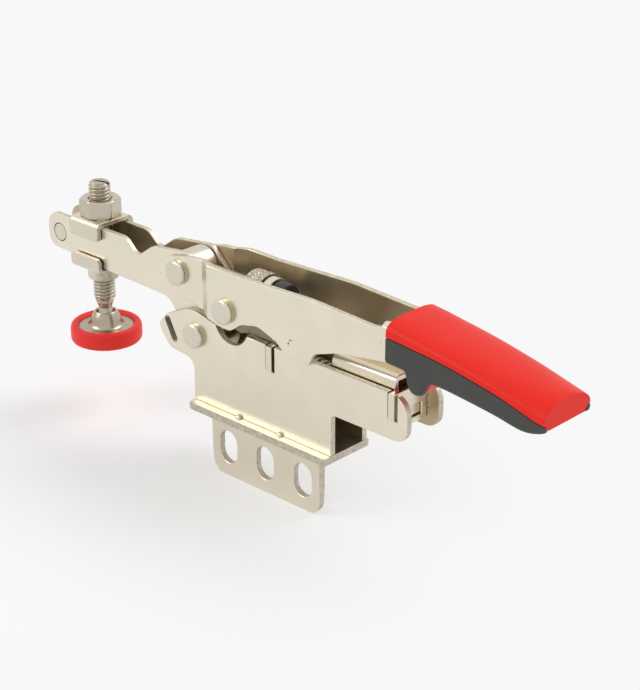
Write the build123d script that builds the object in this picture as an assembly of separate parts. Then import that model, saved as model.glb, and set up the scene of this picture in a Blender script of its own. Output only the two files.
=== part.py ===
from build123d import *
from math import cos, radians
import os

# Horizontal toggle clamp with an open arm and a right-angle mounting bracket.
# Frame: X runs along the clamp towards the grip, Z is up, and Y = 0 is the plane of symmetry
# of the arm, handle and base. The origin is on the underside of the bracket's horizontal leg.
# All lengths are in millimetres.

# Pivots at rest, with the clamp closed (x, z)
base_pivot_x, base_pivot_z = -27.4, 20.4
arm_pivot_x, arm_pivot_z = -33.6, 36.3
link_pivot_x, link_pivot_z = -14.5, 31.4
slide_pivot_x, slide_pivot_z = -0.2, 27.7

# Sheet thicknesses and the layers across the clamp
arm_gap = 6.8
arm_t = 1.5
base_t = 1.75
handle_t = 1.5
link_t = 1.4
saddle_t = 1.5
bracket_t = 2.0
layer_clear = 0.1
wide_layer_clear = 0.2

# Rivets
rivet_r = 2.4
link_rivet_r = 2.0
stud_r = 1.6
rivet_head_r = 3.4
rivet_head_h = 1.6
rivet_groove_low, rivet_groove_high = 0.5, 0.75
rivet_edge = 0.5
link_upset = 0.7
pin_clear = 0.05

# Arm
arm_tip_reach = 54.4
arm_top = 3.4
arm_tip_drop = 6.5
arm_lobe_r = 5.5
arm_foot_r = 6.4
foot_sleeve_r = 4.4
tip_rivet_inset = 4.8
tip_rivet_r = 2.6
tip_spacer_r = 3.4

# Base
base_top = 25.7
base_front = -28.2
base_waist = 13.5
base_step_x = 20.8
base_rear_x = 45.4
nose_x = -41.3
notch_x, notch_z, notch_r = -14.0, 27.8, 6.0
slot_w = 3.1
front_slot_x, rear_slot_x = -0.15, 40.65
slot_floor = 18.6
lock_plate_t = 2.0
lock_plate_half_w = 7.3
lock_plate_foot = 16.0

# Slide bar, return spring and rear cover
bar_w, bar_h = 5.6, 3.0
bar_z = 19.1
bar_front, bar_rear = -7.6, 41.2
window_clear = 0.15
slide_eye_r = 3.1
neck_w = 4.6
spring_r = 4.2
spring_wire = 0.8
cover_front = 19.1
cover_top = 29.0
cover_t = 1.5
cover_bend_r = 2.2
cover_depth = 7.0

# Bracket
leg_front, leg_rear = -27.6, 20.8
leg_far_y = 7.5
flange_y = -9.1
flange_half_w = 19.15
flange_drop = 14.7
flange_bend_r = 3.0
flange_corner_r = 4.0
bolt_slot_w = 6.2
bolt_slot_pitch = 13.3
bolt_slot_length = 9.2
bolt_slot_mid_z = -6.4

# Handle frame and grip
handle_lobe_r = 5.5
handle_top = 42.3
handle_foot_tip = 25.8
joggle_offset, joggle_w = 9.2, 3.6
handle_tail_z = 34.3
handle_end_x = 78.0
frame_cover = 2.0
web_front_x = 39.6
web_rise = 0.9
louver_x, louver_depth = 13.4, 0.8
grip_front_x = 40.4
grip_end_x = 86.0
grip_crown = 45.0
grip_end_crown = 37.9
grip_crown_rise = 0.3
parting_front_z, parting_end_z, parting_rise = 41.0, 33.3, 1.4
grip_chin_x, grip_chin_z = 80.5, 29.6
grip_half_w = 9.5
grip_inlay_t = 0.7
grip_vault_r = 3.2
hook_x, hook_w, hook_depth = 50.0, 3.6, 5.5

# Adjusting screw
screw_r = 2.0
knob_r, knob_w = 5.0, 5.8
knob_offset = 21.4
collar_r, collar_w = 4.4, 2.3
buffer_r, buffer_w = 3.9, 3.8
ring_gap = 0.3
screw_axis_rise = 0.1

# Spindle and its saddles
spindle_x = -71.2
spindle_r = 3.0
spindle_top = 50.75
spindle_slot_w, spindle_slot_depth = 1.0, 1.2
spindle_slot_turn = 20
nut_flats, nut_h = 10.0, 5.0
nut_turn = -7.5
saddle_length = 11.7
saddle_half_w = 6.5
upper_saddle_depth = 5.2
lower_saddle_web = 26.3
lower_saddle_rise = 5.0
saddle_collar_r, saddle_collar_h = 4.3, 3.4
ball_r, ball_z = 2.5, 11.4
neck_r = 1.8
foot_top_r, foot_waist_r, foot_flare_r = 2.9, 4.1, 5.2
foot_top_z, foot_waist_z, foot_dish_z = 12.9, 10.3, 7.4
foot_dish_r, foot_dish_t = 8.0, 1.2
pad_r, pad_bottom, pad_top = 10.0, 4.2, 9.4
pad_rim_r, pad_edge = 7.5, 1.4

# Layers across the clamp, as distances from the middle plane
arm_in = arm_gap / 2
arm_out = arm_in + arm_t
base_in = arm_out + layer_clear
base_out = base_in + base_t
handle_front_in = arm_out + layer_clear
handle_front_out = handle_front_in + handle_t
handle_rear_in = base_out + layer_clear
handle_rear_out = handle_rear_in + handle_t
link_front_in = handle_rear_in - wide_layer_clear - link_t
link_rear_in = base_in - wide_layer_clear - link_t
arm_bottom = arm_pivot_z - arm_tip_drop - 1.8
saddle_web = arm_pivot_z + arm_top
lock_dip_z = slide_pivot_z - slide_eye_r - 0.6


def outline(*corners):
    """A closed face from corners given as x, z and corner radius."""
    points = [(x, z) for x, z, _ in corners]
    radii = [radius for _, _, radius in corners]
    return make_face(FilletPolyline(*points, radius=radii, close=True))


def slab(face, y_low, y_high):
    """An XZ face given thickness from y_low to y_high."""
    return extrude(Plane.XZ.offset(-y_high) * face, amount=y_high - y_low)


def both_sides(face, inner, outer):
    """The same plate on each side of the middle plane."""
    return slab(face, -outer, -inner) + slab(face, inner, outer)


def barrel(x, z, radius, y_low, y_high):
    return slab(Pos(x, z) * Circle(radius), y_low, y_high)


def joggled(face, stations, thickness, side):
    """A plate of an XZ outline whose inner face follows stations of x and distance from the middle."""
    inner = [(x, side * y) for x, y in stations]
    outer = [(x, side * (y + thickness)) for x, y in reversed(stations)]
    band = extrude(make_face(Polyline(*inner, *outer, close=True)), amount=2 * handle_top)
    reach = max(y for _, y in stations) + thickness
    return band & slab(face, -reach, reach)


def rivet_head(seat):
    """Radius and height pairs of a grooved round head on a face at seat."""
    return [
        (rivet_head_r, seat),
        (rivet_head_r, seat + rivet_groove_low),
        (rivet_head_r - rivet_edge, seat + rivet_groove_low),
        (rivet_head_r - rivet_edge, seat + rivet_groove_high),
        (rivet_head_r, seat + rivet_groove_high),
        (rivet_head_r, seat + rivet_head_h - rivet_edge),
        (rivet_head_r - rivet_edge, seat + rivet_head_h),
        (0, seat + rivet_head_h),
    ]


def across(x, z, points):
    """A piece turned about a pivot's axis from radius and distance-from-middle pairs."""
    return Pos(x, 0, z) * revolve(make_face(Polyline(*points, close=True)), Axis.Y)


def rivet(x, z, shank_r, reach):
    """A through rivet with a head beyond each outer face."""
    half = across(x, z, [(0, 0), (shank_r, 0), (shank_r, reach), *rivet_head(reach)])
    return half + mirror(half, Plane.XZ)


def lathe(points):
    """A turned piece on the spindle axis from radius and height pairs."""
    turned = revolve(Plane.XZ * make_face(Polyline(*points, close=True)), Axis.Z)
    return Pos(spindle_x, 0, 0) * turned


def save(name, shape):
    export_step(shape, f"parts/{name}.step")


def arm_plate(side):
    """One side plate of the open arm, with its knee, pivot lobe and foot."""
    tip = arm_pivot_x - arm_tip_reach
    top = arm_pivot_z + arm_top
    face = outline(
        (tip, top, 4.0),
        (arm_pivot_x - 22.4, top, 4.5),
        (arm_pivot_x - 17.8, top - 4.2, 2.6),
        (arm_pivot_x - 11.4, top + 0.4, 6.0),
        (arm_pivot_x + 2.3, arm_pivot_z + arm_lobe_r, 3.0),
        (base_pivot_x + 3.4, arm_pivot_z - 1.6, 5.0),
        (base_pivot_x + arm_foot_r, base_pivot_z + 4.0, 4.0),
        (base_pivot_x + arm_foot_r, base_pivot_z - arm_foot_r, arm_foot_r * 0.9),
        (base_pivot_x - arm_foot_r, base_pivot_z - arm_foot_r, arm_foot_r * 0.9),
        (arm_pivot_x - 3.2, base_pivot_z + 3.8, 3.0),
        (arm_pivot_x - 5.4, arm_bottom - 0.6, 5.0),
        (arm_pivot_x - 26.0, arm_bottom - 0.1, 20.0),
        (tip, arm_pivot_z - arm_tip_drop, 3.2),
    )
    face -= Pos(base_pivot_x, base_pivot_z) * Circle(rivet_r + pin_clear)
    face -= Pos(arm_pivot_x, arm_pivot_z) * Circle(rivet_r + pin_clear)
    face -= Pos(tip + tip_rivet_inset, arm_pivot_z - 2.0) * Circle(tip_rivet_r)
    if side > 0:
        return slab(face, arm_in, arm_out)
    return slab(face, -arm_out, -arm_in)


def tip_pieces():
    """The flush rivet at the arm's tip and the spacer that keeps the plates apart."""
    x = arm_pivot_x - arm_tip_reach + tip_rivet_inset
    z = arm_pivot_z - 2.0
    pin = barrel(x, z, tip_rivet_r, -arm_out, arm_out)
    spacer = barrel(x, z, tip_spacer_r, -arm_in, arm_in) - pin
    return pin, spacer


def foot_sleeve():
    """The tube on the base rivet that keeps the arm's feet apart."""
    half = arm_in - pin_clear
    tube = barrel(base_pivot_x, base_pivot_z, foot_sleeve_r, -half, half)
    return tube - barrel(base_pivot_x, base_pivot_z, rivet_r + pin_clear, -half, half)


def base_frame():
    """One folded stamping: two side plates joined by a sloping web at the nose."""
    face = outline(
        (nose_x, 20.1, 1.6),
        (nose_x + 3.4, 23.6, 1.5),
        (base_pivot_x - 1.4, base_top + 2.1, 9.0),
        (notch_x - notch_r, base_top, 0),
        (base_rear_x, base_top, 5.0),
        (base_rear_x, base_waist, 4.0),
        (base_step_x, base_waist, 1.5),
        (base_step_x, bracket_t, 0),
        (base_front, bracket_t, 0),
        (base_front, base_waist - 0.2, 3.0),
        (nose_x + 4.2, base_waist + 0.6, 2.0),
        (nose_x + 1.4, 17.3, 3.0),
    )
    face -= Pos(notch_x, notch_z) * Circle(notch_r)
    for slot_x in (front_slot_x, rear_slot_x):
        face -= Pos(slot_x, slot_floor + 10) * Rectangle(slot_w, 20)
    face -= Pos(base_pivot_x, base_pivot_z) * Circle(rivet_r)
    relief = Pos(nose_x + 4.7, 19.6) * Rot(0, 0, -62) * SlotOverall(7.4, 2.2)
    sides = both_sides(face - relief, base_in, base_out)
    web = outline(
        (nose_x, 20.1, 0),
        (nose_x + 1.7, 21.9, 0),
        (nose_x + 4.3, 16.7, 0),
        (nose_x + 3.0, 14.9, 0),
        (nose_x + 1.4, 17.3, 0),
    )
    return sides + slab(web, -base_in, base_in)


def lock_plate(slot_x):
    """A canting plate that grips the slide bar, with ears in the base's open slots."""
    ear_h = base_top - slot_floor
    ears = Pos(0, slot_floor + ear_h / 2) * Rectangle(2 * lock_plate_half_w, ear_h)
    body = Pos(0, (base_top + lock_plate_foot) / 2) * Rectangle(
        2 * (base_in - layer_clear), base_top - lock_plate_foot
    )
    window = Pos(0, bar_z) * Rectangle(bar_w + 2 * window_clear, bar_h + 2 * window_clear)
    dip = Pos(0, base_top) * Rectangle(2 * (base_in - layer_clear), 2 * (base_top - lock_dip_z))
    face = ears + body - window
    if slot_x == front_slot_x:
        face -= dip
    plane = Plane(origin=(slot_x - lock_plate_t / 2, 0, 0), x_dir=(0, 1, 0), z_dir=(1, 0, 0))
    return extrude(plane * face, amount=lock_plate_t)


def slide_bar():
    """The flat bar that the lock plates grip, with an upright eye for the toggle link."""
    bar = outline(
        (bar_front, bar_z - bar_h / 2, 0.6),
        (bar_rear, bar_z - bar_h / 2, 0.6),
        (bar_rear, bar_z + bar_h / 2, 0.6),
        (bar_front, bar_z + bar_h / 2, 0.6),
    )
    neck_x = front_slot_x + slot_w / 2 + 0.3
    neck = outline(
        (neck_x, bar_z, 0),
        (neck_x + neck_w, bar_z, 0),
        (neck_x + neck_w, slide_pivot_z, 2.0),
        (slide_pivot_x + 1.0, slide_pivot_z + slide_eye_r, 0.5),
        (slide_pivot_x, slide_pivot_z, 0),
        (neck_x, slide_pivot_z - slide_eye_r, 0),
    )
    face = bar + neck + Pos(slide_pivot_x, slide_pivot_z) * Circle(slide_eye_r)
    face -= Pos(slide_pivot_x, slide_pivot_z) * Circle(stud_r + pin_clear)
    return slab(face, -bar_w / 2, bar_w / 2)


def return_spring():
    """The envelope of the coil spring between the slide's neck and the rear lock plate."""
    start = front_slot_x + slot_w / 2 + 0.3 + neck_w
    end = rear_slot_x - lock_plate_t / 2
    plane = Plane(origin=(start, 0, bar_z), x_dir=(0, 1, 0), z_dir=(1, 0, 0))
    ring = Circle(spring_r) - Circle(spring_r - spring_wire)
    return extrude(plane * ring, amount=end - start)


def lock_cover():
    """The folded cover over the rear of the base, let in between the side plates."""
    hollow = Pos(0, -cover_t) * Rectangle(2 * (base_in - cover_t), cover_depth)
    face = Rectangle(2 * base_in, cover_depth) - hollow
    plane = Plane(origin=(cover_front, 0, cover_top - cover_depth / 2), x_dir=(0, 1, 0), z_dir=(1, 0, 0))
    end = rear_slot_x - lock_plate_t / 2 - layer_clear
    folded = extrude(plane * face, amount=end - cover_front)
    bends = folded.edges().filter_by(Axis.X).sort_by(Axis.Z)[-2:]
    folded = fillet(bends, cover_bend_r)
    side = outline(
        (cover_front, cover_top, 0.4),
        (end, cover_top, 0.4),
        (end, cover_top - cover_depth, 0.4),
        (cover_front, cover_top - cover_depth, 3.0),
    )
    return folded & slab(side, -base_in, base_in)


def bracket():
    """The right-angle bracket: the leg under the base and the flange with three bolt slots."""
    leg = Pos((leg_front + leg_rear) / 2, (leg_far_y + flange_y + flange_bend_r) / 2, bracket_t / 2) * Box(
        leg_rear - leg_front, leg_far_y - flange_y - flange_bend_r, bracket_t
    )
    profile = FilletPolyline(
        (flange_y + flange_bend_r + 1, bracket_t),
        (flange_y, bracket_t),
        (flange_y, -flange_drop),
        radius=[flange_bend_r],
    )
    inner = FilletPolyline(
        (flange_y + bracket_t, -flange_drop),
        (flange_y + bracket_t, 0),
        (flange_y + flange_bend_r + 1, 0),
        radius=[flange_bend_r - bracket_t],
    )
    ends = [
        Line((flange_y, -flange_drop), (flange_y + bracket_t, -flange_drop)),
        Line((flange_y + flange_bend_r + 1, 0), (flange_y + flange_bend_r + 1, bracket_t)),
    ]
    section = make_face([*profile.edges(), *inner.edges(), *ends])
    plane = Plane(origin=(-flange_half_w, 0, 0), x_dir=(0, 1, 0), z_dir=(1, 0, 0))
    flange = extrude(plane * section, amount=2 * flange_half_w)
    window = outline(
        (-flange_half_w, bracket_t + 1, 0),
        (flange_half_w, bracket_t + 1, 0),
        (flange_half_w, -flange_drop, flange_corner_r),
        (-flange_half_w, -flange_drop, flange_corner_r),
    )
    flange = flange & slab(window, flange_y - 1, leg_far_y)
    for step in (-1, 0, 1):
        place = Pos(step * bolt_slot_pitch, bolt_slot_mid_z) * Rot(0, 0, 90)
        slot = place * SlotOverall(bolt_slot_length, bolt_slot_w)
        flange -= slab(slot, flange_y - 1, flange_y + bracket_t + 1)
    return leg + flange


def handle_outline():
    """The side view of the handle frame, from the pivot lobe to the end inside the grip."""
    return outline(
        (arm_pivot_x - handle_lobe_r + 0.2, arm_pivot_z + 3.2, 3.0),
        (arm_pivot_x + 5.0, arm_pivot_z + handle_lobe_r, 6.0),
        (arm_pivot_x + 10.5, handle_top, 4.0),
        (link_pivot_x + 4.0, handle_top - 0.2, 20.0),
        (link_pivot_x + 30.0, handle_top + 0.7, 30.0),
        (grip_front_x - 5.0, handle_top - 0.2, 4.0),
        (web_front_x + handle_t, grip_crown - frame_cover, 1.5),
        (handle_end_x, grip_end_crown - 0.7 * frame_cover, 2.0),
        (handle_end_x, handle_tail_z - frame_cover, 2.0),
        (grip_front_x + frame_cover, handle_tail_z + 0.6 * frame_cover, 0.5),
        (grip_front_x, handle_tail_z - layer_clear, 0.3),
        (base_step_x + 3.7, handle_tail_z - 2.6, 12.0),
        (base_step_x - 4.4, handle_tail_z - 5.4, 2.6),
        (slide_pivot_x + 14.9, handle_foot_tip - 0.6, 0.8),
        (slide_pivot_x + 7.0, handle_foot_tip, 0.5),
        (slide_pivot_x + 3.8, handle_foot_tip + 2.7, 3.5),
        (slide_pivot_x - 2.6, handle_foot_tip + 4.8, 5.0),
        (link_pivot_x + 5.8, link_pivot_z - 2.1, 4.0),
        (link_pivot_x + 1.8, link_pivot_z - 5.0, 3.4),
        (link_pivot_x - 2.4, link_pivot_z - 4.8, 3.8),
        (arm_pivot_x - 2.4, arm_pivot_z - handle_lobe_r + 0.1, 4.0),
        (arm_pivot_x - handle_lobe_r, arm_pivot_z - 2.0, 2.0),
    )


def handle_frame():
    """One stamping: two joggled side plates, folded over into a channel inside the grip."""
    face = handle_outline()
    face -= Pos(arm_pivot_x, arm_pivot_z) * Circle(rivet_r)
    face -= Pos(link_pivot_x, link_pivot_z) * Circle(link_rivet_r)
    joggle_start = arm_pivot_x + joggle_offset
    stations = [
        (arm_pivot_x - 20, handle_front_in),
        (joggle_start, handle_front_in),
        (joggle_start + joggle_w, handle_rear_in),
        (grip_end_x, handle_rear_in),
    ]
    frame = joggled(face, stations, handle_t, 1) + joggled(face, stations, handle_t, -1)
    stop_x = slide_pivot_x + 7.8
    stop = outline(
        (stop_x, base_top + layer_clear, 0.4),
        (stop_x + 6.4, base_top + layer_clear, 0.4),
        (stop_x + 5.6, base_top + 3.6, 2.0),
        (stop_x + 1.0, base_top + 3.6, 0.4),
    )
    frame += both_sides(stop, base_in + layer_clear, handle_rear_in)
    return frame - louver() + handle_web()


def louver():
    """The wedge by which each side plate is pressed in above its foot."""
    start = slide_pivot_x + 8.2
    wedge = Polyline(
        (start, handle_rear_out),
        (louver_x, handle_rear_out - louver_depth),
        (louver_x, handle_rear_out + louver_depth),
        (start, handle_rear_out + louver_depth),
        close=True,
    )
    deep = extrude(make_face(wedge), amount=handle_top)
    region = outline(
        (start, handle_foot_tip - 2, 0),
        (start, handle_foot_tip + 4.6, 1.2),
        (louver_x - 2.6, handle_foot_tip + 4.8, 1.2),
        (louver_x - 0.4, handle_foot_tip + 1.0, 3.0),
        (louver_x + 0.2, handle_foot_tip - 2, 0),
    )
    cut = deep & slab(region, 0, 2 * handle_rear_out)
    return cut + mirror(cut, Plane.XZ)


def handle_web():
    """The folded and slightly vaulted top of the handle frame, its front edge curved back."""
    top = grip_crown - frame_cover
    drop = top - (grip_end_crown - 0.7 * frame_cover)
    shoulder = handle_rear_out - 2 * web_rise
    section = Polyline(
        (-handle_rear_out, top - handle_t),
        (-handle_rear_out, top - layer_clear),
        (-shoulder, top + web_rise),
        (shoulder, top + web_rise),
        (handle_rear_out, top - layer_clear),
        (handle_rear_out, top - handle_t),
        close=True,
    )
    start = web_front_x + handle_t
    plane = Plane(origin=(start, 0, 0), x_dir=(0, 1, 0), z_dir=(1, 0, 0))
    fall = Vector(handle_end_x - start, 0, -drop)
    web = extrude(plane * make_face(section), amount=fall.length, dir=fall)
    nose = extrude(plane * make_face(section), amount=-2 * handle_t)
    bite = Pos(start - 5.0, 0, 0) * Cylinder(handle_rear_in, 4 * grip_crown)
    return web + nose - bite


def grip_curve(front_z, end_z, rise):
    """A long shallow curve along the grip, from its front to its end."""
    middle = ((grip_front_x + grip_end_x) / 2, (front_z + end_z) / 2 + rise)
    return ThreePointArc((grip_front_x, front_z), middle, (grip_end_x, end_z))


def grip_outline():
    """The side view of the whole grip: low crown, finger hook and rounded chin."""
    crown = grip_curve(grip_crown, grip_end_crown, grip_crown_rise)
    under = FilletPolyline(
        (grip_end_x, grip_end_crown),
        (grip_end_x, parting_end_z - 2.0),
        (grip_chin_x, grip_chin_z),
        (hook_x + 1.2 * hook_w, handle_tail_z - 1.4),
        (hook_x + hook_w / 2, handle_tail_z - hook_depth),
        (hook_x - hook_w / 2, handle_tail_z - 0.3),
        (grip_front_x, handle_tail_z),
        (grip_front_x, grip_crown),
        radius=[1.5, 3.0, 1.6, 1.6, 1.6, 0.6],
    )
    return make_face([crown, *under.edges()])


def grip_side_outline():
    """The soft inlay's outline: below the parting line, down to the underside."""
    low_z = handle_tail_z - 2 * hook_depth
    parting = grip_curve(parting_front_z, parting_end_z, parting_rise)
    rest = Polyline(
        (grip_end_x, parting_end_z),
        (grip_end_x, low_z),
        (grip_front_x, low_z),
        (grip_front_x, parting_front_z),
    )
    return make_face([parting, *rest.edges()]) & grip_outline()


def grip_core(frame):
    """The hard grip moulded over the handle frame, with a recess at each side for the inlay."""
    block = slab(grip_outline(), -grip_half_w, grip_half_w)
    along = block.edges().filter_by(lambda e: e.geom_type == GeomType.CIRCLE)
    crown_edges = along.filter_by(lambda e: e.length > grip_end_x - grip_front_x)
    block = fillet(crown_edges, grip_vault_r)
    recess = both_sides(grip_side_outline(), grip_half_w - grip_inlay_t, grip_half_w + grip_inlay_t)
    return block - recess - frame


def grip_inlay(side):
    """One soft side inlay of the grip."""
    plate = slab(grip_side_outline(), grip_half_w - grip_inlay_t, grip_half_w)
    return plate if side > 0 else mirror(plate, Plane.XZ)


def link_plate(side):
    """One link of the toggle, joggled in behind the base's side plates."""
    face = outline(
        (link_pivot_x - 4.2, link_pivot_z + 4.0, 4.0),
        (link_pivot_x + 1.8, link_pivot_z + 3.1, 4.0),
        (link_pivot_x + 5.8, link_pivot_z + 0.5, 4.0),
        (slide_pivot_x + 3.1, slide_pivot_z + 2.6, 2.2),
        (slide_pivot_x + 3.1, slide_pivot_z - 3.0, 2.6),
        (link_pivot_x + 8.6, link_pivot_z - 6.0, 2.0),
        (link_pivot_x - 1.0, link_pivot_z - 4.5, 3.0),
        (link_pivot_x - 4.2, link_pivot_z - 3.6, 3.0),
    )
    face -= Pos(link_pivot_x, link_pivot_z) * Circle(link_rivet_r + pin_clear)
    face -= Pos(slide_pivot_x, slide_pivot_z) * Circle(stud_r)
    stations = [
        (link_pivot_x - 10, link_front_in),
        (link_pivot_x + 4.2, link_front_in),
        (link_pivot_x + 6.0, link_rear_in),
        (slide_pivot_x + 10, link_rear_in),
    ]
    return joggled(face, stations, link_t, side)


def link_rivet(side):
    """The short rivet that carries one link on the handle, headed outside and upset inside."""
    back = link_front_in - pin_clear
    turned = across(link_pivot_x, link_pivot_z, [
        (0, back - link_upset),
        (link_rivet_r + link_upset, back - link_upset),
        (link_rivet_r + link_upset, back),
        (link_rivet_r, back),
        (link_rivet_r, handle_rear_out),
        *rivet_head(handle_rear_out),
    ])
    return turned if side > 0 else mirror(turned, Plane.XZ)


def link_stud(side):
    """The stub at the link's rear end. It stops short of the slide's eye."""
    stub = barrel(slide_pivot_x, slide_pivot_z, stud_r, bar_w / 2 + wide_layer_clear, link_rear_in + link_t)
    return stub if side > 0 else mirror(stub, Plane.XZ)


def cross_barrel():
    """The barrel between the arm plates, tapped across for the adjusting screw."""
    body = barrel(arm_pivot_x, arm_pivot_z, arm_lobe_r - 0.5, pin_clear - arm_in, arm_in - pin_clear)
    body -= barrel(arm_pivot_x, arm_pivot_z, rivet_r, -arm_in, arm_in)
    return body - along_x(arm_pivot_x, 2 * arm_lobe_r, screw_r + pin_clear)


def along_x(start, length, radius):
    """A round bar on the adjusting screw's axis."""
    plane = Plane(origin=(start, 0, arm_pivot_z + screw_axis_rise), x_dir=(0, 1, 0), z_dir=(1, 0, 0))
    return extrude(plane * Circle(radius), amount=length)


def adjuster():
    """The knurled adjusting screw, its collar and the soft buffer behind it."""
    knob_x = arm_pivot_x + knob_offset
    collar_x = knob_x + knob_w + ring_gap
    buffer_x = collar_x + collar_w + ring_gap
    shank_x = arm_pivot_x + rivet_r + ring_gap
    shank = along_x(shank_x, buffer_x + buffer_w - shank_x, screw_r)
    knob = along_x(knob_x, knob_w, knob_r)
    knob = chamfer(knob.edges().filter_by(GeomType.CIRCLE), 0.5)
    collar = along_x(collar_x, collar_w, collar_r) - along_x(collar_x, collar_w, screw_r + pin_clear)
    buffer = along_x(buffer_x, buffer_w, buffer_r) - along_x(buffer_x, buffer_w, screw_r + pin_clear)
    return shank + knob, collar, buffer


def saddle(low, high, web_low, web_high):
    """A U-shaped saddle across both arm plates, bored for the spindle."""
    block = Pos(spindle_x, 0, (low + high) / 2) * Box(saddle_length, 2 * saddle_half_w, high - low)
    inner_half = saddle_half_w - saddle_t
    if web_high == high:
        hollow = Pos(spindle_x, 0, web_low - 10) * Box(saddle_length + 2, 2 * inner_half, 20)
    else:
        hollow = Pos(spindle_x, 0, web_high + 10) * Box(saddle_length + 2, 2 * inner_half, 20)
    return block - hollow


def upper_saddle():
    low = saddle_web + saddle_t - upper_saddle_depth
    body = saddle(low, saddle_web + saddle_t, saddle_web, saddle_web + saddle_t)
    bends = body.edges().filter_by(Axis.X).sort_by(Axis.Z)[-2:]
    body = fillet(bends, saddle_t * 0.8)
    return body - Pos(spindle_x, 0, saddle_web) * Cylinder(spindle_r + pin_clear, 10)


def lower_saddle():
    rim = lower_saddle_web + lower_saddle_rise
    body = saddle(lower_saddle_web, rim, lower_saddle_web, lower_saddle_web + saddle_t)
    bends = body.edges().filter_by(Axis.X).sort_by(Axis.Z)[:2]
    body = fillet(bends, saddle_t * 0.8)
    ends = body.edges().filter_by(Axis.Y).sort_by(Axis.Z)[-4:]
    body = fillet(ends, 1.8)
    collar = lathe([
        (0, lower_saddle_web - saddle_collar_h),
        (saddle_collar_r, lower_saddle_web - saddle_collar_h),
        (saddle_collar_r, lower_saddle_web),
        (0, lower_saddle_web),
    ])
    collar = fillet(collar.edges().sort_by(Axis.Z)[0], 0.8)
    return body + collar - Pos(spindle_x, 0, lower_saddle_web) * Cylinder(spindle_r + pin_clear, 20)


def spindle():
    """The stud: slotted top, plain shank and the ball that carries the foot."""
    shank_end = ball_z + ball_r + 2.2
    stem = lathe([
        (0, ball_z),
        (neck_r, ball_z),
        (neck_r, ball_z + ball_r + 0.6),
        (spindle_r, shank_end),
        (spindle_r, spindle_top - 0.6),
        (spindle_r - 0.6, spindle_top),
        (0, spindle_top),
    ])
    stem += Pos(spindle_x, 0, ball_z) * Sphere(ball_r)
    slot = Box(3 * spindle_r, spindle_slot_w, 2 * spindle_slot_depth)
    return stem - Pos(spindle_x, 0, spindle_top) * Rot(0, 0, spindle_slot_turn) * slot


def spindle_nut():
    """The hexagon nut on the upper saddle, chamfered at both faces."""
    low = saddle_web + saddle_t
    prism = extrude(
        Plane.XY.offset(low) * RegularPolygon(nut_flats / 2, 6, major_radius=False, rotation=nut_turn),
        amount=nut_h,
    )
    corner_r = nut_flats / 2 / cos(radians(30))
    turned = lathe([
        (0, low),
        (nut_flats / 2, low),
        (corner_r, low + 0.5),
        (corner_r, low + nut_h - 0.5),
        (nut_flats / 2, low + nut_h),
        (0, low + nut_h),
    ])
    body = Pos(spindle_x, 0, 0) * prism & turned
    return body - Pos(spindle_x, 0, low) * Cylinder(spindle_r + pin_clear, 3 * nut_h)


def foot_cup():
    """The pressed foot: a cone that holds the ball, flaring into the dish inside the pad."""
    body = lathe([
        (0, foot_dish_z),
        (foot_dish_r, foot_dish_z),
        (foot_dish_r, foot_dish_z + foot_dish_t),
        (foot_flare_r, foot_dish_z + foot_dish_t),
        (foot_waist_r, foot_waist_z),
        (foot_top_r, foot_top_z),
        (0, foot_top_z),
    ])
    mouth = lathe([
        (0, ball_z),
        (neck_r + 0.2, ball_z),
        (neck_r + 0.8, foot_top_z + 0.1),
        (0, foot_top_z + 0.1),
    ])
    return body - mouth - Pos(spindle_x, 0, ball_z) * Sphere(ball_r + pin_clear)


def foot_pad():
    """The moulded cap that grips the rim of the dish."""
    return lathe([
        (0, pad_bottom),
        (pad_r - pad_edge, pad_bottom),
        (pad_r, pad_bottom + pad_edge),
        (pad_r, pad_top - pad_edge),
        (pad_r - pad_edge, pad_top),
        (pad_rim_r, pad_top),
        (pad_rim_r, foot_dish_z + foot_dish_t),
        (foot_dish_r, foot_dish_z + foot_dish_t),
        (foot_dish_r, foot_dish_z),
        (0, foot_dish_z),
    ])


os.makedirs("parts", exist_ok=True)

save("base_frame", base_frame())
save("base_bracket", bracket())
save("front_lock_plate", lock_plate(front_slot_x))
save("rear_lock_plate", lock_plate(rear_slot_x))
save("lock_cover", lock_cover())
save("base_rivet", rivet(base_pivot_x, base_pivot_z, rivet_r, base_out))
save("slide_bar", slide_bar())
save("return_spring", return_spring())
save("arm_plate_left", arm_plate(-1))
save("arm_plate_right", arm_plate(1))
tip_rivet, tip_spacer = tip_pieces()
save("arm_tip_rivet", tip_rivet)
save("arm_tip_spacer", tip_spacer)
save("arm_foot_sleeve", foot_sleeve())
save("cross_barrel", cross_barrel())
save("arm_rivet", rivet(arm_pivot_x, arm_pivot_z, rivet_r, handle_front_out))
frame = handle_frame()
save("handle_frame", frame)
save("grip_core", grip_core(frame))
save("grip_inlay_left", grip_inlay(-1))
save("grip_inlay_right", grip_inlay(1))
save("link_rivet_left", link_rivet(-1))
save("link_rivet_right", link_rivet(1))
save("link_plate_left", link_plate(-1))
save("link_plate_right", link_plate(1))
save("link_stud_left", link_stud(-1))
save("link_stud_right", link_stud(1))
screw, collar, soft_buffer = adjuster()
save("adjusting_screw", screw)
save("screw_collar", collar)
save("screw_buffer", soft_buffer)
save("upper_saddle", upper_saddle())
save("lower_saddle", lower_saddle())
save("spindle", spindle())
save("spindle_nut", spindle_nut())
save("foot_cup", foot_cup())
save("foot_pad", foot_pad())
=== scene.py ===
import functools
import math

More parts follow.
